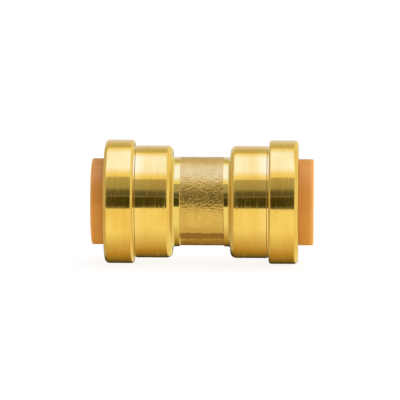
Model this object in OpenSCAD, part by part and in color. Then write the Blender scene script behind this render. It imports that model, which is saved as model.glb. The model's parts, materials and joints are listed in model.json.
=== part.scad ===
// Push fit coupling for half-inch copper, CPVC and PEX pipe.
// The pipe axis lies along X and the origin is the middle of the coupling, on that axis.
// Every outline is a list of [radius, station] points, where a station is a distance from the
// middle along the axis. Each end's pieces are drawn on +X and placed on either side.

/* [Pipe] */
// Outside diameter of the pipe that each socket takes
pipe_d = 15.875; // [15.775:0.05:15.975]
// Gap on the radius between the pipe and the socket wall
socket_gap = 0.09; // [0.07:0.01:0.12]

/* [Forged body] */
// Diameter of the as-forged neck
neck_d = 20.18; // [20.06:0.04:20.26]
// Width of the as-forged band round the neck
forged_w = 10; // [8.5:0.1:10.5]
// How far the forged band's middle lies to the right of the coupling's middle
forged_shift = 0.15; // [0:0.05:0.3]
// Diameter of the turned ring on each side of the forged band
neck_ring_d = 20.4; // [20.35:0.05:20.8]
// Height of the trimmed forging flash above the neck, at the middle of its flat band
flash_h = 0.03; // [0.02:0.01:0.06]
// Diameter of each cup
cup_d = 25.6; // [25.4:0.1:26]
// Station of the inner face of the cup
cup_start = 6.55; // [6.2:0.05:6.6]
// Station of the cup's mouth
cup_end = 19.2; // [19.0:0.05:19.3]
// Round on the inner corner of the cup
cup_round = 1.35; // [0.8:0.05:1.6]

/* [End cap] */
// Outside diameter of the end cap
cap_d = 28.2; // [28:0.1:29]
// Station of the cap's back edge, next to the cup
cap_back = 15.3; // [15:0.05:15.6]
// Station of the cap's outer face
cap_face = 22; // [21.8:0.05:22.2]
// Round on the outer corner of the cap
cap_round = 1; // [0.5:0.1:1.3]
// Round on the cap's back edge, next to the cup
cap_heel_round = 0.6; // [0.3:0.1:0.8]
// Wire diameter of the snap ring that locks the cap to the cup
lock_wire_d = 0.8; // [0.7:0.05:0.9]

/* [Release collar] */
// Station of the collar's outer face when it is fully out
collar_face = 25.5; // [25.2:0.1:25.8]
// How far in the left collar rests, within its free play
left_collar_in = 0.5; // [0:0.1:0.6]
// Outside diameter of the part that shows
collar_d = 19.66; // [19.5:0.02:19.8]
// How far the collar slides in
collar_travel = 2.2; // [1.8:0.1:2.2]
// Number of spring fingers
finger_count = 8; // [6:1:10]

/* [Grab ring] */
// Number of teeth
tooth_count = 20; // [16:2:24]
// Thickness of the stainless sheet
sheet_t = 0.4; // [0.3:0.05:0.45]
// How far a free tooth tip stands inside the pipe's surface
tooth_bite = 0.3; // [0.2:0.05:0.35]

/* [Seals and liner] */
// Cross-section diameter of each O-ring
o_ring_section = 2.5; // [2.4:0.05:2.55]
// Gap between the two O-rings, filled by their spacer
o_ring_spacing = 1.1; // [1:0.05:1.2]
// Diameter of the bore through the tube liner
liner_bore_d = 10.2; // [9.6:0.1:10.4]
// Wall thickness of the tube liner
liner_wall = 0.8; // [0.6:0.05:0.9]

/* [Hidden] */

round_fn = 96;       // sides of every round shape
corner_steps = 8;    // flats used to draw a rounded corner
edge = 0.2;          // small chamfer on turned and moulded edges

// Gaps between neighbours, on the radius or along the axis
fit = 0.05;          // pieces that seat against each other or turn beside each other
seat_gap = 0.02;     // pieces pushed home: O-rings in their chamber, the cap over the cup
guide_gap = 0.16;    // pipe in the plain rings beside the O-rings
collar_gap = 0.2125; // pipe in the release collar
lip_gap = 0.17;      // release collar in the cap's lip
flange_gap = 0.13;   // liner's flange in its groove

brass = [0.86, 0.68, 0.26];
forged_brass = [0.90, 0.72, 0.30];
collar_orange = [0.80, 0.48, 0.20];
steel = [0.78, 0.79, 0.80];
rubber = [0.06, 0.06, 0.06];
white_plastic = [0.92, 0.92, 0.88];
grey_plastic = [0.32, 0.34, 0.36];

neck_r = neck_d / 2;
neck_ring_r = neck_ring_d / 2;
cup_r = cup_d / 2;
cap_r = cap_d / 2;
collar_r = collar_d / 2;

// Socket and tube stop
stop_half = 0.8;                    // half the width of the ridge that stops both pipes
stop_r = 6.6;
socket_r = pipe_d / 2 + socket_gap;
neck_fillet = 0.5;

// O-ring chamber
seal_start = 7.2;                   // shoulder that the inner O-ring rests on
seal_end = seal_start + fit + 2 * o_ring_section + o_ring_spacing + fit;
seal_r = 10.12;
o_ring_mid_r = seal_r - seat_gap - o_ring_section / 2;
inner_o_ring_at = seal_start + fit + o_ring_section / 2;
outer_o_ring_at = inner_o_ring_at + o_ring_section + o_ring_spacing;
guide_r = pipe_d / 2 + guide_gap;

// Cartridge chamber, between the O-ring chamber and the cup's mouth
chamber_r = 11.7;
ring_r = chamber_r - 2 * fit;       // outside of the plain rings in it
grab_start = 15.9;                  // back of the grab ring's flange
grab_r = chamber_r - fit;
tooth_root_r = 9.9;
tooth_slope = 0.711;                // axial drop of a tooth for each unit of radius
tooth_tip_r = pipe_d / 2 - tooth_bite;
support_start = grab_start + sheet_t + fit;
support_end = 17.4;

// End cap
cap_bore_r = cup_r + seat_gap;
spigot_r = ring_r + fit;            // outside of the cap's inner tube, which clamps the rings
spigot_bore_r = 10.75;
lip_back = 20.6;
lip_r = collar_r + lip_gap;
lock_at = 17.0;
lock_groove_w = lock_wire_d + 0.2;
relief_before = 0.45;               // how far the cup's relief groove shows beside the cap
relief_under = 0.25;                // how far it runs on under the cap
relief_d = 0.15;

// Release collar
collar_bore_r = pipe_d / 2 + collar_gap;
collar_mouth_r = 8.85;              // pipe lead-in at the outer face
collar_mouth_l = 0.7;
collar_round = 0.35;
nose_at = 16.8;                     // station of the nose when the collar is fully out
nose_r = 9.25;
nose_land = 0.1;                    // flat tip of the nose, measured on the radius
nose_cone_l = 1.25;
barb_at = support_end + collar_travel;
barb_r = 10.6;
slot_end = 21.4;
slot_w = 1;

// Tube liner
liner_r = liner_bore_d / 2;
liner_out_r = liner_r + liner_wall;
liner_groove_r = socket_r + 0.22;
liner_flange_r = liner_groove_r - flange_gap;
liner_flange_w = 0.8;
liner_end = 16;

function end_nodes(side) = [for (name = [
    "end_cap", "cap_lock_ring", "release_collar", "grab_ring_support", "grab_ring",
    "o_ring_retainer", "outer_o_ring", "o_ring_spacer", "inner_o_ring", "tube_liner"
]) str(side, "_", name)];

// Points round a circle from angle a0 to a1, which draw a rounded corner.
function arc(centre, r, a0, a1) = [for (i = [0 : corner_steps])
    let (a = a0 + (a1 - a0) * i / corner_steps) centre + r * [cos(a), sin(a)]];

// The same outline on the other side of the middle, in the order that closes a loop.
function mirrored(points) = [for (i = [len(points) - 1 : -1 : 0]) [points[i][0], -points[i][1]]];

// Outline of a plain ring with a small chamfer on each edge.
function ring_outline(r_in, r_out, from, to, c) = [
    [r_in + c, from], [r_out - c, from], [r_out, from + c], [r_out, to - c],
    [r_out - c, to], [r_in + c, to], [r_in, to - c], [r_in, from + c]
];

// Turns an outline round the X axis.
module turned(points) {
    rotate([0, 90, 0]) rotate_extrude($fn = round_fn) polygon(points);
}

// Repeats its children evenly round the X axis.
module around_x(count) {
    for (i = [0 : count - 1]) rotate([i * 360 / count, 0, 0]) children();
}

// Puts a piece that is drawn on +X at either end.
module at_end(side) {
    rotate([0, 0, side == "left" ? 180 : 0]) children();
}

// Forged body: one half's outline runs from the neck, over the cup and back along the bores.
// neck_end is the station where the forged band ends on this half.
function body_half(neck_end) = concat(
    [[neck_r, neck_end], [neck_ring_r, neck_end]],
    arc([neck_ring_r + neck_fillet, cup_start - neck_fillet], neck_fillet, 180, 90),
    arc([cup_r - cup_round, cup_start + cup_round], cup_round, -90, 0),
    [
        [cup_r, cap_back - relief_before], [cup_r - relief_d, cap_back - relief_before + relief_d],
        [cup_r - relief_d, cap_back + relief_under - relief_d], [cup_r, cap_back + relief_under],
        [cup_r, lock_at - lock_groove_w / 2],
        [cup_r - lock_wire_d / 2 - fit, lock_at - lock_groove_w / 2],
        [cup_r - lock_wire_d / 2 - fit, lock_at + lock_groove_w / 2],
        [cup_r, lock_at + lock_groove_w / 2],
        [cup_r, cup_end - edge], [cup_r - edge, cup_end],
        [chamber_r + edge, cup_end], [chamber_r, cup_end - edge],
        [chamber_r, seal_end], [seal_r, seal_end],
        [seal_r, seal_start], [socket_r + edge, seal_start], [socket_r, seal_start - edge],
        [socket_r, stop_half + liner_flange_w + 2 * fit],
        [liner_groove_r, stop_half + liner_flange_w + 2 * fit],
        [liner_groove_r, stop_half], [stop_r, stop_half]
    ]
);

// Trimmed forging flash: two flat bands on opposite sides of the neck, clear of the turned rings.
module flash_bands(tilt = 46, width = 2.1, sunk = 0.5, inset = 0.15) {
    translate([forged_shift, 0, 0]) rotate([tilt, 0, 0]) difference() {
        cube([forged_w - 2 * inset, neck_d + 2 * flash_h, width], center = true);
        rotate([0, 90, 0])
            cylinder(h = forged_w, r = neck_r - sunk, center = true, $fn = round_fn);
    }
}

module coupling_body() {
    color(forged_brass) union() {
        turned(concat(
            body_half(forged_w / 2 + forged_shift),
            mirrored(body_half(forged_w / 2 - forged_shift))
        ));
        flash_bands();
    }
}

// Brass cap over the cup's mouth. Its inner tube clamps the cartridge's rings.
module end_cap(side) {
    color(brass) at_end(side) turned(concat(
        [[cap_bore_r + edge, cap_back]],
        arc([cap_r - cap_heel_round, cap_back + cap_heel_round], cap_heel_round, -90, 0),
        arc([cap_r - cap_round, cap_face - cap_round], cap_round, 0, 90),
        [
            [lip_r + edge, cap_face], [lip_r, cap_face - edge], [lip_r, lip_back],
            [spigot_bore_r, lip_back], [spigot_bore_r, support_end + fit],
            [spigot_r, support_end + fit], [spigot_r, cup_end + fit],
            [cap_bore_r, cup_end + fit],
            [cap_bore_r, lock_at + lock_groove_w / 2],
            [cup_r + lock_wire_d / 2 + fit, lock_at + lock_groove_w / 2],
            [cup_r + lock_wire_d / 2 + fit, lock_at - lock_groove_w / 2],
            [cap_bore_r, lock_at - lock_groove_w / 2],
            [cap_bore_r, cap_back + edge]
        ]
    ));
}

// Split round-wire ring in the groove that the cap and the cup share.
module cap_lock_ring(side, gap_angle = 16) {
    color(steel) at_end(side) translate([lock_at, 0, 0]) rotate([0, 90, 0])
        rotate_extrude(angle = 360 - gap_angle, $fn = round_fn)
            translate([cup_r, 0]) circle(d = lock_wire_d, $fn = round_fn);
}

// Collar that is pressed in to free the pipe. Its slotted fingers hook behind the cap's lip.
module release_collar(side, barb_l = 0.95, barb_ramp = 0.5, reach = 20) {
    set_in = side == "left" ? left_collar_in : 0;
    color(collar_orange) at_end(side) translate([-set_in, 0, 0]) difference() {
        turned(concat(
            [
                [collar_bore_r, nose_at], [collar_bore_r + nose_land, nose_at],
                [nose_r, nose_at + nose_cone_l], [nose_r, barb_at],
                [barb_r, barb_at + barb_ramp], [barb_r, barb_at + barb_l],
                [collar_r - edge, barb_at + barb_l], [collar_r, barb_at + barb_l + edge]
            ],
            arc([collar_r - collar_round, collar_face - collar_round], collar_round, 0, 90),
            [[collar_mouth_r, collar_face], [collar_bore_r, collar_face - collar_mouth_l]]
        ));
        around_x(finger_count) translate([nose_at - reach, -slot_w / 2, 0])
            cube([slot_end - nose_at + reach, slot_w, reach]);
    }
}

// Stiff ring that backs the grab ring and guides the collar's nose.
module grab_ring_support(side, bore_r = 9.6, cone = 0.5) {
    color(grey_plastic) at_end(side) turned([
        [bore_r + cone, support_start], [ring_r, support_start],
        [ring_r, support_end], [bore_r + edge, support_end],
        [bore_r, support_end - edge], [bore_r, support_start + cone]
    ]);
}

// Spring-steel ring whose teeth lean inwards and grip the pipe.
module grab_ring(side, slot_r = 9.4, gap_w = 0.8, reach = 4) {
    half_t = sheet_t / 2 * sqrt(1 + pow(tooth_slope, 2));
    lean = sheet_t / 2 / sqrt(1 + pow(tooth_slope, 2)) * tooth_slope;
    mid = grab_start + sheet_t / 2;
    bend = (half_t - sheet_t / 2) / tooth_slope;
    drop = (tooth_root_r - tooth_tip_r) * tooth_slope;
    color(steel) at_end(side) difference() {
        turned([
            [grab_r, grab_start], [grab_r, grab_start + sheet_t],
            [tooth_root_r - bend, grab_start + sheet_t],
            [tooth_tip_r, mid - drop + half_t],
            [tooth_tip_r + 2 * lean, mid - drop - half_t + 2 * lean * tooth_slope],
            [tooth_root_r + bend, grab_start]
        ]);
        around_x(tooth_count) {
            translate([grab_start - reach, -gap_w / 2, slot_r - reach])
                cube([2 * reach, gap_w, reach]);
            translate([grab_start - reach, 0, slot_r]) rotate([0, 90, 0])
                cylinder(h = 2 * reach, d = gap_w, $fn = round_fn);
        }
    }
}

// Ring between the outer O-ring and the grab ring. Its cone supports the teeth under load.
module o_ring_retainer(side, heel = 0.35, cone_slope = 0.9) {
    cone_end = grab_start - fit;
    cone_r = guide_r + (cone_end - seal_end - heel) / cone_slope;
    color(white_plastic) at_end(side) turned([
        [guide_r, seal_end], [ring_r, seal_end], [ring_r, cone_end],
        [cone_r, cone_end], [guide_r, seal_end + heel]
    ]);
}

module o_ring(side, station) {
    color(rubber) at_end(side) translate([station, 0, 0]) rotate([0, 90, 0])
        rotate_extrude($fn = round_fn)
            translate([o_ring_mid_r, 0]) circle(d = o_ring_section, $fn = round_fn);
}

module o_ring_spacer(side) {
    from = inner_o_ring_at + o_ring_section / 2 + fit;
    color(white_plastic) at_end(side) turned(
        ring_outline(guide_r, seal_r - fit, from, from + o_ring_spacing - 2 * fit, edge / 2));
}

// Stiffening sleeve inside the pipe. Its flange turns in a groove beside the tube stop.
module tube_liner(side, lead = 0.35) {
    flange = stop_half + fit;
    color(white_plastic) at_end(side) turned([
        [liner_r + edge, flange], [liner_flange_r - edge, flange],
        [liner_flange_r, flange + edge], [liner_flange_r, flange + liner_flange_w - edge],
        [liner_flange_r - edge, flange + liner_flange_w],
        [liner_out_r, flange + liner_flange_w],
        [liner_out_r, liner_end - 3 * lead], [liner_out_r - lead, liner_end],
        [liner_r + edge, liner_end], [liner_r, liner_end - edge], [liner_r, flange + edge]
    ]);
}

coupling_body();
for (side = ["left", "right"]) {
    end_cap(side);
    cap_lock_ring(side);
    release_collar(side);
    grab_ring_support(side);
    grab_ring(side);
    o_ring_retainer(side);
    o_ring(side, outer_o_ring_at);
    o_ring_spacer(side);
    o_ring(side, inner_o_ring_at);
    tube_liner(side);
}
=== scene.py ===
import json
import math

import bmesh
import bpy
import numpy as np
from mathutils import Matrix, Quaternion, Vector, noise


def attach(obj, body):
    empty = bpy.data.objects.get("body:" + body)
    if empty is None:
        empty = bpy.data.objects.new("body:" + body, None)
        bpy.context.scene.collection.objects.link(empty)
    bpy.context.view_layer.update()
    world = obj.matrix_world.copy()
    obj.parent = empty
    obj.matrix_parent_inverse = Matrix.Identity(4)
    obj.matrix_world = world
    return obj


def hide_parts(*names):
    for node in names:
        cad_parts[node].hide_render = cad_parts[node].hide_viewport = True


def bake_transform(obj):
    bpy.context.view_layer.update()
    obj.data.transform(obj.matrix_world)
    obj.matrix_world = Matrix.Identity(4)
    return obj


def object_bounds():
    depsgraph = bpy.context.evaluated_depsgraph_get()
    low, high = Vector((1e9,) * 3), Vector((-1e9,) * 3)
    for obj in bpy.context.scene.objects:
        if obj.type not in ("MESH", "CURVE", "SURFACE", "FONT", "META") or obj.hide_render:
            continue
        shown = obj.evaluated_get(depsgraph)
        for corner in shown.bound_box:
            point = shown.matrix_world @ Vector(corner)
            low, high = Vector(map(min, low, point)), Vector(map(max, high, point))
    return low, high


# Looks of a push fit coupling. The pipe axis is X. Every piece is drawn from an outline of
# (station, radius) points in millimetres, where a station is a distance from the middle along
# the axis, and becomes a mesh in metres. Angles round the axis start at the front and go up.

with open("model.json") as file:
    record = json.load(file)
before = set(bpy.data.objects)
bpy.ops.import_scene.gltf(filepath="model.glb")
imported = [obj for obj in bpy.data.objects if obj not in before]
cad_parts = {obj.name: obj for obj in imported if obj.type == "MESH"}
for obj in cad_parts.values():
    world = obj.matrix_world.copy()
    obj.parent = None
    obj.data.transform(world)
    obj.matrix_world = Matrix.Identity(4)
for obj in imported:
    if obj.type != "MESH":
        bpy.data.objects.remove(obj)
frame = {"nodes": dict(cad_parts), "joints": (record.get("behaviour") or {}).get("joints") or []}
cad_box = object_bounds()

MM = 0.001
SIDES = ("left", "right")
HOLD = 0.06            # distance of a supporting point from a rounded corner
SHARP = math.radians(35)

# Forged body, where the frame's boxes don't say
NECK_R = 10.09
RING_R = 10.2          # turned ring on each side of the forged neck
FORGED_HALF = 5.0      # half the width of the forged band
FORGED_SHIFT = 0.15    # how far to the right its middle lies
RING_CLEAR = 5.6       # station past which no forged skin is left
NECK_STEP = 0.13       # spacing of points along the neck
CUP_START = 6.55
CUP_ROUND = 1.35
RELIEF_BEFORE = 0.45   # relief groove in the cup beside the cap, and under it
RELIEF_UNDER = 0.25
RELIEF_D = 0.15
NECK_FILLET = 0.5
SOCKET_R = 8.0275
OFF_CENTRE = 0.13      # how far the forging sits above the turned surfaces' axis
SWELL = ((0.03, 3.5, 3.1), (0.02, 1.4, 11.9))  # height, size and seed of the soft waves
DIMPLES = (0.06, 0.3, 5.5)                     # and of the dimples
CREASES = (0.03, 0.4, 17.2)                    # and of the creases between them
FLARE = 0.25           # width of the forged skin's raised edge
FLASH_ANGLE = -43      # trimmed forging flash, in degrees; the other band is opposite
FLASH_W = 2.1
FLASH_SINK = 0.03      # how far the middle of a trimmed band lies under the neck

# End cap and collar
HEEL_ROUND = 0.6
SPIGOT_BORE_R = 10.75
LIP_BACK = 20.6
MOUTH_R = 8.85
MOUTH_L = 0.7
NOSE_R = 9.25
NOSE_CONE = 1.25
BARB_L = 0.95
BARB_RAMP = 0.5
SLOT_END = 21.4
SLOT_W = 1.0
FINGERS = 8

# Grab ring
TEETH = 20
SHEET_T = 0.4
BEND_R = 9.9
TOOTH_SLOPE = 0.711
TOOTH_GAP = 0.8
GAP_CENTRE_R = 9.4
TIP_ROUND = 0.25
BEND_SOFT = 0.18       # how gently the sheet bends at the teeth's roots

# Gaps and small edges
FIT = 0.05
LIP_GAP = 0.17
FLANGE_GAP = 0.13
FLANGE_W = 0.8
WIRE_GAP = 0.1
EDGE = 0.2


# ------------------------------------------------------------------ outlines

def reach(node):
    """A node's nearest and farthest stations, and its inner and outer radii."""
    points = np.array([v.co for v in frame["nodes"][node].data.vertices]) / MM
    station = np.abs(points[:, 0])
    radius = np.hypot(points[:, 1], points[:, 2])
    return station.min(), station.max(), radius.min(), radius.max()


def corner(before, here, after, size):
    """Points of an arc of this radius that rounds the corner at here."""
    if size == 0:
        return [here]
    back = (before - here).normalized()
    ahead = (after - here).normalized()
    half = back.angle(ahead) / 2
    centre = here + (back + ahead).normalized() * size / math.sin(half)
    first = here + back * size / math.tan(half) - centre
    last = here + ahead * size / math.tan(half) - centre
    turn = math.pi - 2 * half
    steps = max(2, round(5 * math.sqrt(size) * turn / (math.pi / 2)))
    shares = [i / steps for i in range(steps + 1)]
    return [
        centre + (first * math.sin((1 - t) * turn) + last * math.sin(t * turn)) / math.sin(turn)
        for t in shares
    ]


def stretch(a, b, longest):
    """Points inside the straight stretch from a to b: one near each end, more where it is long."""
    length = (b - a).length
    if length < 4 * HOLD:
        return []
    pieces = max(1, math.ceil(length / longest))
    shares = [HOLD / length] + [i / pieces for i in range(1, pieces)] + [1 - HOLD / length]
    return [a.lerp(b, t) for t in shares]


def rounded(corners, longest=2.0):
    """Closed outline through (station, radius, round) corners."""
    places = [Vector((station, radius)) for station, radius, _ in corners]
    count = len(corners)
    arcs = [
        corner(places[i - 1], places[i], places[(i + 1) % count], corners[i][2])
        for i in range(count)
    ]
    outline = []
    for i, arc in enumerate(arcs):
        outline += arc + stretch(arc[-1], arcs[(i + 1) % count][0], longest)
    return np.array([tuple(p) for p in outline])


def clockwise(outline):
    """The outline in the order that gives outward faces."""
    station, radius = outline.T
    area = np.sum(station * np.roll(radius, -1) - np.roll(station, -1) * radius)
    return outline[::-1] if area > 0 else outline


# ------------------------------------------------------------------ meshes

def placed(side, station, around, radius):
    """Points in metres for stations, angles and radii on one side of the coupling."""
    turn = -1 if side == "left" else 1
    x = turn * station
    y = -turn * radius * np.cos(around)
    z = radius * np.sin(around)
    return np.stack([x, y, z], axis=-1).reshape(-1, 3) * MM


def piece(name, points, faces):
    """A smooth-shaded mesh object with its sharp edges kept."""
    mesh = bpy.data.meshes.new(name)
    mesh.from_pydata(points.tolist(), [], faces)
    mesh.validate()
    made = bpy.data.objects.new(name, mesh)
    bpy.context.scene.collection.objects.link(made)
    smooth(made)
    return made


def smooth(made):
    made.data.shade_smooth()
    made.data.set_sharp_from_angle(angle=SHARP)


def lathe(name, side, outline, segments, shape=None):
    """Turns a closed outline round the axis. shape may change the radii and mark the skin."""
    outline = clockwise(outline)
    angles = np.arange(segments) * 2 * math.pi / segments
    station, around = np.meshgrid(outline[:, 0], angles, indexing="ij")
    radius = np.repeat(outline[:, 1:2], segments, axis=1)
    marks = {}
    if shape:
        radius, marks = shape(station, around, radius)
    rows = len(outline)
    faces = []
    for i in range(rows):
        here = i * segments
        there = (i + 1) % rows * segments
        for j in range(segments):
            k = (j + 1) % segments
            faces.append((here + j, there + j, there + k, here + k))
    made = piece(name, placed(side, station, around, radius), faces)
    for mark_name, values in marks.items():
        mark = made.data.attributes.new(mark_name, "FLOAT", "POINT")
        mark.data.foreach_set("value", values.ravel().astype(np.float32))
    return made


def finished(made, node, body, material):
    """Puts a rebuilt piece in place of its CAD node, on its body, with its material."""
    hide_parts(node)
    if body:
        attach(made, body)
    made.data.materials.clear()
    made.data.materials.append(material)
    return made


# ------------------------------------------------------------------ forged body

def body_outline():
    """From the neck over the right cup, back along its bores, and the same on the left."""
    _, mouth, stop_r, cup_r = reach("coupling_body")
    wire_near, wire_far, wire_in, _ = reach("right_cap_lock_ring")
    seal_end, _, _, _ = reach("right_o_ring_retainer")
    seal_start, _, _, seal_out = reach("right_inner_o_ring")
    _, _, _, flange_r = reach("right_tube_liner")
    chamber_r = reach("right_grab_ring")[3] + FIT
    seal_r = seal_out + 0.02
    groove_r = flange_r + FLANGE_GAP
    flange_near = reach("right_tube_liner")[0] - FIT
    flange_far = flange_near + FLANGE_W + 2 * FIT
    cap_back = reach("right_end_cap")[0]
    half = [
        (CUP_START, RING_R, NECK_FILLET),
        (CUP_START, cup_r, CUP_ROUND),
        (cap_back - RELIEF_BEFORE, cup_r, 0.08),
        (cap_back - RELIEF_BEFORE + RELIEF_D, cup_r - RELIEF_D, 0.08),
        (cap_back + RELIEF_UNDER - RELIEF_D, cup_r - RELIEF_D, 0.08),
        (cap_back + RELIEF_UNDER, cup_r, 0.08),
        (wire_near - WIRE_GAP, cup_r, 0.05),
        (wire_near - WIRE_GAP, wire_in - FIT, 0.05),
        (wire_far + WIRE_GAP, wire_in - FIT, 0.05),
        (wire_far + WIRE_GAP, cup_r, 0.05),
        (mouth, cup_r, EDGE),
        (mouth, chamber_r, EDGE),
        (seal_end, chamber_r, 0.1),
        (seal_end, seal_r, 0.1),
        (seal_start - FIT, seal_r, 0.1),
        (seal_start - FIT, SOCKET_R, EDGE),
        (flange_far, SOCKET_R, 0.05),
        (flange_far, groove_r, 0.05),
        (flange_near, groove_r, 0.05),
        (flange_near, stop_r, 0.1),
    ]
    steps = round(2 * RING_CLEAR / NECK_STEP)
    neck = [(-RING_CLEAR + 2 * RING_CLEAR * i / steps, RING_R, 0) for i in range(steps + 1)]
    mirrored = [(-station, radius, size) for station, radius, size in reversed(half)]
    return rounded(neck + half + mirrored, longest=3)


def bumps(station, around, height, size, seed):
    """Smooth noise over the neck, with bumps of about this height and size."""
    spots = np.stack([station, NECK_R * np.cos(around), NECK_R * np.sin(around)], axis=-1)
    spots = spots / size + seed
    values = [noise.noise(spot) for spot in spots.reshape(-1, 3)]
    return height * np.array(values).reshape(station.shape)


def flash_band(raw, station, around, middle):
    """raw with a flat band cut on it where the forging's flash was trimmed, and how far in."""
    away = (around - math.radians(middle) + math.pi) % (2 * math.pi) - math.pi
    half = FLASH_W / 2 / NECK_R
    edge = 0.008
    wander = bumps(station, 0 * around + middle, 0.4, 1.3, 31.7)
    inside = np.clip((half * (1 + wander) - np.abs(away)) / edge + 0.5, 0, 1)
    centre_r = NECK_R - FLASH_SINK + OFF_CENTRE * math.sin(math.radians(middle))
    flat = centre_r / np.cos(np.clip(away, -2 * half, 2 * half))
    flat = flat + bumps(station, around, 0.012, 0.5, 7.3)
    return raw + (flat - raw) * inside, inside


def forged_neck(station, around, radius):
    """Radii with the forging's rough skin on the neck, cut clean where the rings are turned."""
    near = (np.abs(station) < RING_CLEAR - NECK_STEP / 2) & (radius > SOCKET_R + 1)
    rows = near.all(axis=1)
    s, a = station[rows], around[rows]
    swell = sum(bumps(s, a, *wave) for wave in SWELL)
    peel = bumps(s, a, *DIMPLES) - np.abs(bumps(s, a, *CREASES))
    raw = NECK_R + OFF_CENTRE * np.sin(a) + swell + peel
    raw, low_band = flash_band(raw, s, a, FLASH_ANGLE)
    raw, high_band = flash_band(raw, s, a, FLASH_ANGLE + 180)
    away = np.abs(s - FORGED_SHIFT)
    flare = np.clip(away - FORGED_HALF + FLARE, 0, None)
    raw = raw + 2.0 * flare ** 2
    cut = (away > FORGED_HALF - 0.1) & (raw > RING_R)
    radius, skin, trimmed = radius.copy(), np.zeros_like(radius), np.zeros_like(radius)
    radius[rows] = np.where(cut, RING_R, raw)
    skin[rows] = np.where(cut, 0.0, 1.0)
    trimmed[rows] = low_band + high_band
    return radius, {"forged": skin, "trimmed": trimmed}


def coupling_body(material):
    made = lathe("brass_body", "right", body_outline(), 480, forged_neck)
    return finished(made, "coupling_body", "fitting", material)


# ------------------------------------------------------------------ end cap

def cap_outline():
    back, face, lip_r, cap_r = reach("right_end_cap")
    wire_near, wire_far, _, wire_out = reach("right_cap_lock_ring")
    _, mouth, _, cup_r = reach("coupling_body")
    _, support_end, _, ring_r = reach("right_grab_ring_support")
    bore_r = cup_r + 0.02
    return rounded([
        (back, bore_r, 0.12),
        (back, cap_r, HEEL_ROUND),
        (face, cap_r, 1.0),
        (face, lip_r, EDGE),
        (LIP_BACK, lip_r, 0.1),
        (LIP_BACK, SPIGOT_BORE_R, 0.1),
        (support_end + FIT, SPIGOT_BORE_R, 0.1),
        (support_end + FIT, ring_r + FIT, 0.1),
        (mouth + FIT, ring_r + FIT, 0.1),
        (mouth + FIT, bore_r, 0.1),
        (wire_far + WIRE_GAP, bore_r, 0.05),
        (wire_far + WIRE_GAP, wire_out + FIT, 0.05),
        (wire_near - WIRE_GAP, wire_out + FIT, 0.05),
        (wire_near - WIRE_GAP, bore_r, 0.05),
    ], longest=1.5)


def end_cap(side, material):
    made = lathe(f"{side}_cap", side, cap_outline(), 384)
    return finished(made, f"{side}_end_cap", "fitting", material)


# ------------------------------------------------------------------ release collar

def collar_outline(side):
    """The left collar rests a little further in than the right one, which is fully out."""
    nose, face, bore_r, barb_r = reach(f"{side}_release_collar")
    set_in = reach("right_release_collar")[0] - nose
    slot_end = SLOT_END - set_in
    collar_r = reach("right_end_cap")[2] - LIP_GAP
    barb_at = reach("right_grab_ring_support")[1] + travel() - set_in
    return rounded([
        (nose, bore_r, 0.04),
        (nose, bore_r + 0.12, 0.04),
        (nose + NOSE_CONE, NOSE_R, 0.3),
        (barb_at, NOSE_R, 0.2),
        (barb_at + BARB_RAMP, barb_r, 0.06),
        (barb_at + BARB_L, barb_r, 0.06),
        (barb_at + BARB_L, collar_r, 0.1),
        (slot_end, collar_r, 0),
        (face, collar_r, 0.35),
        (face, MOUTH_R, 0.12),
        (face - MOUTH_L, bore_r, 0.4),
        (slot_end, bore_r, 0),
    ], longest=0.9), slot_end


def travel():
    """How far a collar slides, from its joint."""
    slide = next(j for j in frame["joints"] if j["name"] == "right_collar_slide")
    low, high = slide["range_m"]
    return (high - low) / MM


def finger_columns(radius, fingers, steps):
    """Angles of the mesh's columns at each radius, and which of them start a slot's strip."""
    half = np.arcsin(SLOT_W / 2 / radius)
    pitch = 2 * math.pi / fingers
    columns, in_slot = [], []
    for finger in range(fingers):
        middle = finger * pitch
        columns += [middle - half, middle + 0 * half]
        in_slot += [True, True]
        for i in range(steps):
            columns.append(middle + half + (pitch - 2 * half) * i / steps)
            in_slot.append(False)
    return np.array(columns).T, in_slot


def collar_faces(outline, in_slot, slot_end):
    """Faces of the collar: its skin with the slots left out, their walls and their ends."""
    rows, count = len(outline), len(in_slot)
    slotted = outline[:, 0] < slot_end + 1e-6
    at_end = np.flatnonzero(np.isclose(outline[:, 0], slot_end))
    faces = []
    for i in range(rows):
        k = (i + 1) % rows
        for j in range(count):
            if in_slot[j] and slotted[i] and slotted[k]:
                continue
            m = (j + 1) % count
            faces.append((i * count + j, k * count + j, k * count + m, i * count + m))
    first = next(i for i in range(rows) if slotted[i] and not slotted[i - 1])
    run = [(first + i) % rows for i in range(int(slotted.sum()))]
    for j in range(count):
        starts_slot = in_slot[j] and not in_slot[j - 1]
        ends_slot = not in_slot[j] and in_slot[j - 1]
        if starts_slot or ends_slot:
            faces.append(tuple(i * count + j for i in run))
        if in_slot[j]:
            m = (j + 1) % count
            a, b = at_end
            faces.append((a * count + j, a * count + m, b * count + m, b * count + j))
    return faces


def outward(made):
    """Makes every face of a closed mesh point outwards."""
    work = bmesh.new()
    work.from_mesh(made.data)
    bmesh.ops.remove_doubles(work, verts=work.verts, dist=1e-7)
    bmesh.ops.recalc_face_normals(work, faces=work.faces)
    work.to_mesh(made.data)
    work.free()
    smooth(made)
    return made


def release_collar(side, material):
    corners, slot_end = collar_outline(side)
    outline = clockwise(corners)
    around, in_slot = finger_columns(outline[:, 1], FINGERS, 30)
    station = np.repeat(outline[:, 0:1], around.shape[1], axis=1)
    radius = np.repeat(outline[:, 1:2], around.shape[1], axis=1)
    points = placed(side, station, around, radius)
    made = outward(piece(f"{side}_collar_ring", points, collar_faces(outline, in_slot, slot_end)))
    body = f"{side}_collar"
    return finished(made, f"{side}_release_collar", body, material)


# ------------------------------------------------------------------ grab ring

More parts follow.
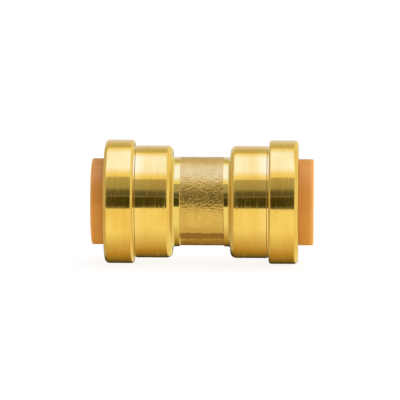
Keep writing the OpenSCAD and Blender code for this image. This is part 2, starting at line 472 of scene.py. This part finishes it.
def tooth_edge(radius, tip_r):
    """Half the angle between two teeth at this radius, with a round root and soft tips."""
    width = TOOTH_GAP / 2
    if radius > GAP_CENTRE_R:
        width = math.sqrt(max(width ** 2 - (radius - GAP_CENTRE_R) ** 2, 0))
    depth = radius - tip_r
    if depth < TIP_ROUND:
        width += TIP_ROUND - math.sqrt(TIP_ROUND ** 2 - (TIP_ROUND - depth) ** 2)
    return math.asin(width / radius)


def sheet_station(radius, flange):
    """Station of the sheet's middle: flat at the flange, then leaning in with a soft bend."""
    inside = BEND_R - radius
    bent = (inside + math.hypot(inside, BEND_SOFT)) / 2
    return flange - TOOTH_SLOPE * bent


def grab_ring(side, material):
    _, far, tip_r, outer_r = reach(f"{side}_grab_ring")
    lean = SHEET_T / 2 * math.sin(math.atan(TOOTH_SLOPE))
    tip_r = tip_r + lean
    root_r = GAP_CENTRE_R + TOOTH_GAP / 2
    straight_r = tip_r + TIP_ROUND
    tip_rows = [tip_r + TIP_ROUND * (1 - math.cos(i * math.pi / 10)) for i in range(5)]
    tooth_rows = [straight_r + (GAP_CENTRE_R - straight_r) * i / 7 for i in range(7)]
    root_rows = [GAP_CENTRE_R + (root_r - GAP_CENTRE_R) * math.sin(i * math.pi / 12) for i in range(7)]
    flange_rows = [root_r + (outer_r - root_r) * i / 8 for i in range(1, 9)]
    radii = tip_rows + tooth_rows + root_rows + flange_rows
    columns, pitch = 10, 2 * math.pi / TEETH
    points, faces = [], []
    flange = far - SHEET_T / 2
    for tooth in range(TEETH):
        for radius in radii:
            edge = tooth_edge(radius, tip_r) if radius < root_r - 1e-9 else 0.0
            for i in range(columns + 1):
                angle = tooth * pitch + edge + (pitch - 2 * edge) * i / columns
                points.append((sheet_station(radius, flange), angle, radius))
        for row in range(len(radii) - 1):
            for i in range(columns):
                a = (tooth * len(radii) + row) * (columns + 1) + i
                b = a + columns + 1
                faces.append((a, b, b + 1, a + 1))
    station, around, radius = np.array(points).T
    made = piece(f"{side}_toothed_ring", placed(side, station, around, radius), faces)
    outward(made)
    thicken(made)
    finished(made, f"{side}_grab_ring", None, material)
    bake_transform(made)
    return made


def thicken(made):
    """Gives a sheet its thickness and breaks its edges, and keeps the result as its mesh."""
    sheet = made.modifiers.new("sheet", "SOLIDIFY")
    sheet.thickness = SHEET_T * MM
    sheet.offset = 0
    sheet.use_even_offset = True
    broken = made.modifiers.new("broken edges", "BEVEL")
    broken.width = 0.04 * MM
    broken.segments = 2
    broken.limit_method = "ANGLE"
    broken.angle_limit = math.radians(50)
    graph = bpy.context.evaluated_depsgraph_get()
    result = bpy.data.meshes.new_from_object(made.evaluated_get(graph))
    made.modifiers.clear()
    made.data = result
    smooth(made)


# ------------------------------------------------------------------ plain rings inside

def retainer_outline():
    seal_end, cone_end, guide_r, ring_r = reach("right_o_ring_retainer")
    heel, cone_slope = 0.35, 0.9
    cone_r = guide_r + (cone_end - seal_end - heel) / cone_slope
    return rounded([
        (seal_end, guide_r, 0.08),
        (seal_end, ring_r, 0.12),
        (cone_end, ring_r, 0.12),
        (cone_end, cone_r, 0.08),
        (seal_end + heel, guide_r, 0.1),
    ], longest=0.8)


def support_outline():
    start, end, bore_r, ring_r = reach("right_grab_ring_support")
    cone = 0.5
    return rounded([
        (start, bore_r + cone, 0.06),
        (start, ring_r, 0.1),
        (end, ring_r, 0.1),
        (end, bore_r, 0.2),
        (start + cone, bore_r, 0.08),
    ], longest=0.6)


def spacer_outline(side):
    start, end, bore_r, outer_r = reach(f"{side}_o_ring_spacer")
    return rounded([
        (start, bore_r, 0.1),
        (start, outer_r, 0.1),
        (end, outer_r, 0.1),
        (end, bore_r, 0.1),
    ], longest=0.5)


def liner_outline():
    start, end, bore_r, flange_r = reach("right_tube_liner")
    wall, lead = 0.8, 0.35
    sleeve_r = bore_r + wall
    return rounded([
        (start, bore_r, 0.15),
        (start, flange_r, 0.15),
        (start + FLANGE_W, flange_r, 0.15),
        (start + FLANGE_W, sleeve_r, 0.12),
        (end - 3 * lead, sleeve_r, 0.3),
        (end, sleeve_r - lead, 0.12),
        (end, bore_r, 0.15),
    ], longest=1.0)


def o_ring_outline(node):
    """Circle with the thin line that a two-part mould leaves inside and outside."""
    near, far, inner, outer = reach(node)
    section_r = (far - near) / 2
    middle_r = (inner + outer) / 2
    points = []
    for i in range(48):
        turn = 2 * math.pi * i / 48
        line = 0.018 if i % 24 == 0 else 0.0
        r = section_r + line
        points.append(((near + far) / 2 + r * math.sin(turn), middle_r + r * math.cos(turn)))
    return np.array(points)


def lock_ring(side, material):
    """Round wire bent into an open ring, with a smooth dome on each end."""
    near, far, inner, outer = reach(f"{side}_cap_lock_ring")
    wire_r, ring_r, middle = (far - near) / 2, (inner + outer) / 2, (near + far) / 2
    opening = 16
    first, sweep = math.radians(-90 + opening), math.radians(360 - opening)
    dome = wire_r / ring_r
    ends = [(dome * (1 - math.cos(t)), math.sin(t)) for t in (0.25, 0.6, 1.0, 1.3)]
    path = [(first + along, size) for along, size in ends]
    steps = 220
    path += [(first + dome + (sweep - 2 * dome) * i / steps, 1) for i in range(steps + 1)]
    path += [(first + sweep - along, size) for along, size in reversed(ends)]
    sides = 20
    points, faces = [], []
    for angle, size in path:
        for i in range(sides):
            turn = 2 * math.pi * i / sides
            away = ring_r + size * wire_r * math.cos(turn)
            points.append((middle + size * wire_r * math.sin(turn), angle, away))
    for row in range(len(path) - 1):
        for i in range(sides):
            k = (i + 1) % sides
            a, b = row * sides, (row + 1) * sides
            faces.append((a + i, b + i, b + k, a + k))
    faces.append(tuple(range(sides)))
    faces.append(tuple((len(path) - 1) * sides + i for i in range(sides)))
    station, around, radius = np.array(points).T
    made = piece(f"{side}_lock_wire", placed(side, station, around, radius), faces)
    outward(made)
    return finished(made, f"{side}_cap_lock_ring", "fitting", material)


# ------------------------------------------------------------------ materials

class Nodes:
    """Short calls that add nodes. An input is a number, a colour or another node's output."""

    def __init__(self, tree):
        self.tree = tree
        tree.nodes.clear()

    def add(self, kind, inputs=(), output=0, **settings):
        node = self.tree.nodes.new("ShaderNode" + kind)
        for name, value in settings.items():
            setattr(node, name, value)
        for key, value in dict(inputs).items():
            if isinstance(value, bpy.types.NodeSocket):
                self.tree.links.new(value, node.inputs[key])
            else:
                node.inputs[key].default_value = value
        return node.outputs[output]

    def math(self, operation, a, b=0.0):
        return self.add("Math", {0: a, 1: b}, operation=operation)

    def step(self, value, low, high, start=0.0, end=1.0):
        """Smooth change from start to end while value goes from low to high."""
        inputs = {"Value": value, "From Min": low, "From Max": high, "To Min": start, "To Max": end}
        return self.add("MapRange", inputs, interpolation_type="SMOOTHSTEP")

    def mix(self, share, a, b, kind="MIX"):
        inputs = {0: share, 6: a, 7: b}
        return self.add("Mix", inputs, 2, data_type="RGBA", blend_type=kind)

    def ramp(self, value, stops):
        node = self.tree.nodes.new("ShaderNodeValToRGB")
        self.tree.links.new(value, node.inputs[0])
        elements = node.color_ramp.elements
        while len(elements) > 1:
            elements.remove(elements[-1])
        elements[0].position = stops[0][0]
        elements[0].color = (*stops[0][1], 1)
        for place, colour in stops[1:]:
            elements.new(place).color = (*colour, 1)
        return node.outputs[0]

    def noise(self, vector, scale, detail=2.0, rough=0.5, twist=0.0):
        inputs = {"Vector": vector, "Scale": scale, "Detail": detail}
        inputs.update({"Roughness": rough, "Distortion": twist})
        return self.add("TexNoise", inputs)

    def vector(self, x, y, z):
        return self.add("CombineXYZ", {0: x, 1: y, 2: z})

    def millimetres(self):
        """Place on the piece in millimetres, as x, y, z and the vector."""
        place = self.add("TexCoord", output="Object")
        scaled = self.add("VectorMath", {0: place, "Scale": 1 / MM}, operation="SCALE")
        split = self.tree.nodes.new("ShaderNodeSeparateXYZ")
        self.tree.links.new(scaled, split.inputs[0])
        return (*split.outputs, scaled)

    def bump(self, height, distance):
        """Normal for a height from 0 to 1 that stands for this many millimetres."""
        return self.add("Bump", {"Height": height, "Distance": distance * MM, "Strength": 1.0})

    def less(self, value, share, most):
        """The value, made smaller by up to this part of it as share goes from 0 to 1."""
        kept = self.math("SUBTRACT", 1.0, self.math("MULTIPLY", share, most))
        return self.math("MULTIPLY", value, kept)


def material(name, build):
    """A material whose build function returns the inputs of its one Principled shader."""
    made = bpy.data.materials.new(name)
    made.use_nodes = True
    nodes = Nodes(made.node_tree)
    shader = nodes.add("BsdfPrincipled", build(nodes))
    out = nodes.tree.nodes.new("ShaderNodeOutputMaterial")
    nodes.tree.links.new(shader, out.inputs["Surface"])
    return made


BRASS = (0.92, 0.70, 0.28, 1)
BRASS_WARM = (0.86, 0.58, 0.19, 1)
BRASS_PALE = (0.95, 0.75, 0.36, 1)
# Painted highlight: paler brass beside the caps
BRASS_PAINTED_SHEEN_BY_CAP = (0.97, 0.765, 0.44, 1)
# Painted highlight: paler brass on the turned rings
BRASS_PAINTED_SHEEN_ON_RING = (0.87, 0.71, 0.345, 1)
# Painted highlight: paler brass in the relief groove beside each cap
BRASS_PAINTED_SHEEN_IN_RELIEF = (0.92, 0.79, 0.50, 1)
SKIN = (0.775, 0.57, 0.262, 1)
SKIN_DARK = (0.69, 0.483, 0.20, 1)
# Painted shade: darker brass on the trimmed flash bands
SKIN_PAINTED_SHADE_TRIMMED = (0.42, 0.275, 0.11, 1)
ACETAL = (0.68, 0.275, 0.022, 1)
ACETAL_DARK = (0.62, 0.235, 0.016, 1)
# Painted light: paler acetal at the collar's open end
ACETAL_PAINTED_LIGHT = (0.80, 0.38, 0.06, 1)
STEEL_STAIN = (0.58, 0.52, 0.43, 1)


def turned_marks(nodes, x, y, z):
    """Fine marks and broad streaks round the axis, as a cutting tool leaves them."""
    square = nodes.math("ADD", nodes.math("MULTIPLY", y, y), nodes.math("MULTIPLY", z, z))
    radius = nodes.math("SQRT", square)
    across = nodes.math("SUBTRACT", nodes.math("ABSOLUTE", x), nodes.math("MULTIPLY", radius, 0.6))

    def streaks(rate, along, detail):
        place = nodes.vector(
            nodes.math("MULTIPLY", across, rate),
            nodes.math("MULTIPLY", y, along),
            nodes.math("MULTIPLY", z, along),
        )
        return nodes.noise(place, 1.0, detail, 0.65)

    return streaks(3.2, 0.2, 4.0), streaks(1.1, 0.05, 2.0)


def turned_surface(nodes, x, y, z, place):
    """Colour, roughness and normal of turned brass."""
    fine, broad = turned_marks(nodes, x, y, z)
    patches = nodes.noise(place, 0.16, 3.0)
    tint = nodes.mix(nodes.step(patches, 0.35, 0.75), BRASS, BRASS_WARM)
    tint = nodes.mix(nodes.step(broad, 0.3, 0.8, 0.0, 0.5), tint, BRASS_PALE)
    rough = nodes.step(fine, 0.42, 0.68, 0.09, 0.28)
    height = nodes.math("ADD", nodes.math("MULTIPLY", fine, 0.5), nodes.math("MULTIPLY", broad, 0.5))
    return tint, rough, nodes.bump(height, 0.008)


def brushed(nodes, tint, rough, normal, stretch=0.75):
    """Shader inputs of metal whose reflections are drawn out along its axis."""
    return {
        "Base Color": tint,
        "Metallic": 1.0,
        "Roughness": rough,
        "Anisotropic": stretch,
        "Anisotropic Rotation": 0.25,
        "Tangent": nodes.add("Tangent", direction_type="RADIAL", axis="X"),
        "Normal": normal,
    }


def turned_inputs(nodes):
    return brushed(nodes, *turned_surface(nodes, *nodes.millimetres()))


def marked(nodes, name, low, high):
    """How far in the part of the mesh that this attribute marks."""
    return nodes.step(nodes.add("Attribute", output="Fac", attribute_name=name), low, high)


def body_inputs(nodes):
    """Turned brass, with the dull dimpled skin of the forging where the mesh marks it, painted
    highlights beside the caps, on the turned rings and in the relief grooves, and painted shade on the
    trimmed flash bands.
    """
    x, y, z, place = nodes.millimetres()
    tint, rough, normal = turned_surface(nodes, x, y, z, place)
    out = nodes.math("ABSOLUTE", x)
    # Painted highlight: the cups are tinted paler beside the caps
    painted_sheen_by_cap = nodes.step(out, 12.3, 15.0)
    # Painted highlight: the turned rings are tinted paler
    painted_sheen_on_ring = nodes.step(out, CUP_START + 0.35, CUP_START - 0.15)
    # Painted highlight: the relief groove beside each cap is tinted paler
    painted_sheen_in_relief = nodes.step(out, 14.8, 14.9)
    tint = nodes.mix(nodes.math("MULTIPLY", painted_sheen_by_cap, 0.8), tint, BRASS_PAINTED_SHEEN_BY_CAP)
    tint = nodes.mix(painted_sheen_on_ring, tint, BRASS_PAINTED_SHEEN_ON_RING)
    tint = nodes.mix(painted_sheen_in_relief, tint, BRASS_PAINTED_SHEEN_IN_RELIEF)
    rough = nodes.less(nodes.less(rough, painted_sheen_by_cap, 0.5), painted_sheen_on_ring, 0.4)
    skin = marked(nodes, "forged", 0.3, 0.7)
    grain = nodes.noise(place, 2.6, 4.0, 0.6, 0.4)
    mottle = nodes.noise(place, 0.7, 3.0, 0.6)
    skin_tint = nodes.mix(nodes.step(mottle, 0.3, 0.75), SKIN, SKIN_DARK)
    # Painted shade: the trimmed flash bands are tinted darker
    skin_tint = nodes.mix(marked(nodes, "trimmed", 0.2, 0.8), skin_tint, SKIN_PAINTED_SHADE_TRIMMED)
    skin_rough = nodes.step(grain, 0.3, 0.7, 0.27, 0.35)
    return brushed(
        nodes,
        nodes.mix(skin, tint, skin_tint),
        nodes.step(skin, 0.0, 1.0, rough, skin_rough),
        nodes.mix(skin, normal, nodes.bump(grain, 0.05)),
        nodes.step(skin, 0.0, 1.0, 0.75, 0.0),
    )


def collar_inputs(nodes):
    """Orange acetal, with painted light that makes it paler at the open end, a fine grain and faint flow
    marks.
    """
    x, _, _, place = nodes.millimetres()
    flow = nodes.noise(place, 0.22, 3.0, 0.6, 0.5)
    grain = nodes.noise(place, 9.0, 2.0)
    # Painted light: the collar is tinted paler towards its open end
    painted_light_at_open_end = nodes.step(nodes.math("ABSOLUTE", x), 24.2, 25.3)
    tint = nodes.mix(nodes.step(flow, 0.3, 0.75), ACETAL, ACETAL_DARK)
    tint = nodes.mix(painted_light_at_open_end, tint, ACETAL_PAINTED_LIGHT)
    return {
        "Base Color": tint,
        "Roughness": nodes.step(grain, 0.2, 0.8, 0.36, 0.50),
        "Specular IOR Level": 0.75,
        "Subsurface Weight": 0.15,
        "Subsurface Radius": (0.0012, 0.0005, 0.0002),
        "Subsurface Scale": 1.0,
        "Normal": nodes.bump(grain, 0.012),
    }


def plastic_inputs(colour, darker, roughness):
    """A moulded plastic in this colour, with faint flow marks and a fine grain."""
    def build(nodes):
        place = nodes.millimetres()[3]
        flow = nodes.noise(place, 0.3, 3.0, 0.6, 0.6)
        grain = nodes.noise(place, 8.0, 3.0)
        return {
            "Base Color": nodes.mix(nodes.step(flow, 0.3, 0.75), (*colour, 1), (*darker, 1)),
            "Roughness": nodes.step(grain, 0.25, 0.75, roughness - 0.08, roughness + 0.1),
            "Normal": nodes.bump(grain, 0.01),
        }
    return build


def rubber_inputs(nodes):
    """Black rubber with a greased sheen that comes and goes."""
    place = nodes.millimetres()[3]
    grease = nodes.noise(place, 0.5, 3.0)
    grain = nodes.noise(place, 11.0, 3.0, 0.6)
    return {
        "Base Color": nodes.mix(grain, (0.012, 0.012, 0.013, 1), (0.028, 0.028, 0.03, 1)),
        "Roughness": nodes.step(grease, 0.35, 0.7, 0.28, 0.55),
        "Normal": nodes.bump(grain, 0.012),
    }


def steel_inputs(colour, roughness, along):
    """Drawn or rolled stainless steel; along stretches its grain in each direction."""
    def build(nodes):
        place = nodes.millimetres()[3]
        stretched = nodes.add("VectorMath", {0: place, 1: along}, operation="MULTIPLY")
        grain = nodes.noise(stretched, 1.0, 4.0, 0.6)
        stain = nodes.noise(place, 0.35, 2.0)
        return {
            "Base Color": nodes.mix(nodes.step(stain, 0.4, 0.8), (*colour, 1), STEEL_STAIN),
            "Metallic": 1.0,
            "Roughness": nodes.step(grain, 0.25, 0.75, roughness - 0.08, roughness + 0.12),
            "Normal": nodes.bump(grain, 0.008),
        }
    return build


# ------------------------------------------------------------------ studio

# Lights and surfaces that the brass mirrors
TABLE = (1.0, 0.87, 0.4)
SOFTBOX = (1.1, 1.25, 1.7)
WALL = (0.8, 0.75, 0.7)
AMBER = (0.5, 0.3, 0.05)
SCREEN = (0.06, 0.05, 0.01)
RIGHT_WALL = (0.9, 0.8, 0.4)
LEFT_WALL = (0.6, 0.5, 0.25)


def dimmed(colour, share):
    return tuple(share * part for part in colour)


# Where they lie, by angle round the axis: 0 is in front, 90 is up and -90 is down.
BELOW = [
    (-180, WALL), (-165, SCREEN), (-150, SCREEN), (-110, AMBER), (-50, TABLE),
    (-25, TABLE), (30, TABLE),
]
ABOVE = [
    (30, TABLE), (60, TABLE), (75, SOFTBOX), (110, SOFTBOX), (125, TABLE),
    (130, dimmed(TABLE, 0.6)), (140, dimmed(TABLE, 0.6)), (160, WALL), (180, WALL),
]
# Dark screen in front, with a thin gap in it and a paler upper half.
PANEL = [
    (-6, TABLE), (-5, dimmed(TABLE, 0.2)), (0, SCREEN), (16, SCREEN), (18, dimmed(TABLE, 0.25)),
    (20, dimmed(TABLE, 0.1)), (28, dimmed(TABLE, 0.15)), (34, dimmed(TABLE, 0.4)),
    (54, dimmed(TABLE, 0.5)), (55, TABLE), (60, TABLE),
]


def by_angle(nodes, angle, stops):
    """Colour ramp over degrees round the axis, from the first stop to the last."""
    first, last = stops[0][0], stops[-1][0]
    share = nodes.math("MULTIPLY", nodes.math("SUBTRACT", angle, first), 1 / (last - first))
    return nodes.ramp(share, [((degrees - first) / (last - first), colour) for degrees, colour in stops])


def mirrored_studio(nodes, x, y, z):
    """What the brass mirrors: the studio round the axis, and a wall past each end."""
    front = nodes.math("MULTIPLY", y, -1.0)
    angle = nodes.math("DEGREES", nodes.math("ARCTAN2", z, front))
    upper = nodes.math("GREATER_THAN", angle, BELOW[-1][0])
    colour = nodes.mix(upper, by_angle(nodes, angle, BELOW), by_angle(nodes, angle, ABOVE))
    over_low_edge = nodes.math("GREATER_THAN", angle, PANEL[0][0])
    under_top_edge = nodes.math("LESS_THAN", angle, PANEL[-1][0])
    on_panel = nodes.math("MULTIPLY", over_low_edge, under_top_edge)
    colour = nodes.mix(on_panel, colour, by_angle(nodes, angle, PANEL))
    wider = nodes.step(front, -0.2, 0.4)
    left = nodes.math("MULTIPLY", x, -1.0)
    to_right = nodes.math("SUBTRACT", x, nodes.math("MULTIPLY", wider, 0.28))
    to_left = nodes.math("SUBTRACT", left, nodes.math("MULTIPLY", wider, 0.15))
    colour = nodes.mix(nodes.step(to_right, 0.05, 0.2), colour, (*RIGHT_WALL, 1))
    return nodes.mix(nodes.step(to_left, 0.3, 0.55), colour, (*LEFT_WALL, 1))


def add_studio():
    """Soft light all round, white to the camera, and the studio's shapes in reflections."""
    world = bpy.data.worlds.new("studio")
    bpy.context.scene.world = world
    world.use_nodes = True
    world.cycles.sampling_method = "NONE"
    nodes = Nodes(world.node_tree)
    split = nodes.tree.nodes.new("ShaderNodeSeparateXYZ")
    nodes.tree.links.new(nodes.add("TexCoord", output="Generated"), split.inputs[0])
    x, y, z = split.outputs
    overhead = nodes.mix(nodes.step(z, -0.3, 0.9), (0.80, 0.80, 0.80, 1), (1.30, 1.28, 1.25, 1))
    sideways = nodes.mix(nodes.step(x, -1.0, 1.0), (0.42, 0.42, 0.42, 1), (1.36, 1.36, 1.36, 1))
    soft = nodes.mix(1.0, overhead, sideways, "MULTIPLY")
    glossy = nodes.add("LightPath", output="Is Glossy Ray")
    seen = nodes.add("LightPath", output="Is Camera Ray")
    colour = nodes.mix(glossy, soft, mirrored_studio(nodes, x, y, z))
    colour = nodes.mix(seen, colour, (1, 1, 1, 1))
    shader = nodes.add("Background", {"Color": colour, "Strength": 1.0})
    out = nodes.tree.nodes.new("ShaderNodeOutputWorld")
    nodes.tree.links.new(shader, out.inputs["Surface"])


def add_floor():
    """A wide pale floor under the lowest point, which glows a little so that it stays pale."""
    size = 4.0
    low = cad_box[0].z
    mesh = bpy.data.meshes.new("floor")
    corners = [(-size, -size, low), (size, -size, low), (size, size, low), (-size, size, low)]
    mesh.from_pydata(corners, [], [(0, 1, 2, 3)])
    floor = bpy.data.objects.new("floor", mesh)
    bpy.context.scene.collection.objects.link(floor)
    floor.visible_glossy = False

    def pale(nodes):
        return {
            "Base Color": (0.2, 0.2, 0.2, 1),
            "Roughness": 1.0,
            "Specular IOR Level": 0.0,
            "Emission Color": (1, 1, 1, 1),
            "Emission Strength": 0.85,
        }
    floor.data.materials.append(material("pale floor", pale))


def add_camera():
    """Long lens, a little above the coupling and a little towards its right end."""
    azimuth, elevation, roll = math.radians(1.7), math.radians(8), math.radians(0.07)
    distance = 0.9
    back = Vector((
        math.sin(azimuth) * math.cos(elevation),
        -math.cos(azimuth) * math.cos(elevation),
        math.sin(elevation),
    ))
    data = bpy.data.cameras.new("camera")
    data.lens = 355
    data.sensor_width = 36
    camera = bpy.data.objects.new("camera", data)
    bpy.context.scene.collection.objects.link(camera)
    turn = (-back).to_track_quat("-Z", "Y") @ Quaternion((0, 0, 1), roll)
    aim = turn @ (Vector((-0.43, 0.38, 0)) * MM)
    camera.location = aim + back * distance
    camera.rotation_mode = "QUATERNION"
    camera.rotation_quaternion = turn
    bpy.context.scene.camera = camera


# ------------------------------------------------------------------ assembly

def add_coupling():
    turned = material("turned brass", turned_inputs)
    forged = material("forged brass", body_inputs)
    orange = material("orange acetal", collar_inputs)
    nylon = material("white nylon", plastic_inputs((0.80, 0.79, 0.74), (0.72, 0.70, 0.62), 0.42))
    glass_filled = material("grey nylon", plastic_inputs((0.10, 0.105, 0.11), (0.06, 0.063, 0.068), 0.5))
    natural = material("natural acetal", plastic_inputs((0.74, 0.74, 0.71), (0.66, 0.65, 0.60), 0.36))
    rubber = material("black rubber", rubber_inputs)
    sheet = material("stainless sheet", steel_inputs((0.66, 0.65, 0.62), 0.3, (0.6, 0.6, 6.0)))
    wire = material("spring wire", steel_inputs((0.62, 0.60, 0.57), 0.26, (5.0, 0.8, 0.8)))
    coupling_body(forged)
    for side in SIDES:
        end_cap(side, turned)
        release_collar(side, orange)
        grab_ring(side, sheet)
        lock_ring(side, wire)
        made = lathe(f"{side}_support", side, support_outline(), 256)
        finished(made, f"{side}_grab_ring_support", "fitting", glass_filled)
        made = lathe(f"{side}_retainer", side, retainer_outline(), 256)
        finished(made, f"{side}_o_ring_retainer", "fitting", nylon)
        made = lathe(f"{side}_spacer", side, spacer_outline(side), 256)
        finished(made, f"{side}_o_ring_spacer", "fitting", nylon)
        made = lathe(f"{side}_liner_sleeve", side, liner_outline(), 256)
        finished(made, f"{side}_tube_liner", f"{side}_liner", natural)
        for place in ("inner", "outer"):
            node = f"{side}_{place}_o_ring"
            made = lathe(f"{side}_{place}_seal", side, o_ring_outline(node), 256)
            finished(made, node, "fitting", rubber)


add_coupling()
add_floor()
add_studio()
add_camera()
bpy.context.scene.view_settings.view_transform = "Standard"
